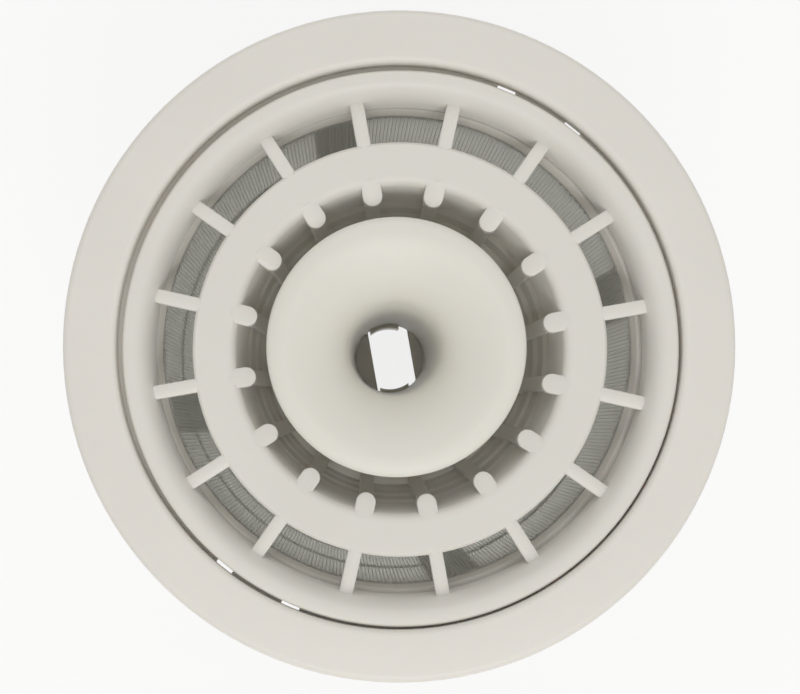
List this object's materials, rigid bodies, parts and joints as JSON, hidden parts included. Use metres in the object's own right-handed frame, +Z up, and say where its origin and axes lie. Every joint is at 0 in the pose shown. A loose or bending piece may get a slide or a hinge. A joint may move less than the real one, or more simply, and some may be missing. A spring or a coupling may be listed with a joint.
{
  "type": "dishwasher filter",
  "caption": "Round dishwasher filter: a fine mesh cage with a wide flange, and a coarse strainer with a basket that lifts out by a funnel-shaped handle.",
  "frame": {"origin": "centre of the base ring's lower face, on the surface that the filter stands on", "axes": "+Z up along the filter's axis, the way the strainer lifts out; +X is the picture's right and +Y the picture's top"},
  "size_m": [0.135, 0.135, 0.092],
  "materials": {
    "frame_plastic": "satin moulded polypropylene",
    "mesh_cloth": "woven nylon screen",
    "strainer_plastic": "satin moulded polypropylene",
    "handle_plastic": "satin moulded polypropylene"
  },
  "bodies": {
    "filter": {"filter_frame": "frame_plastic", "mesh_sleeve": "mesh_cloth"},
    "strainer": {"coarse_strainer": "strainer_plastic", "funnel_handle": "handle_plastic"}
  },
  "joints": [
    {"name": "strainer_lift", "type": "slide", "parent": "filter", "child": "strainer", "axis": [0, 0, 1], "range_m": [0, 0.06]}
  ]
}
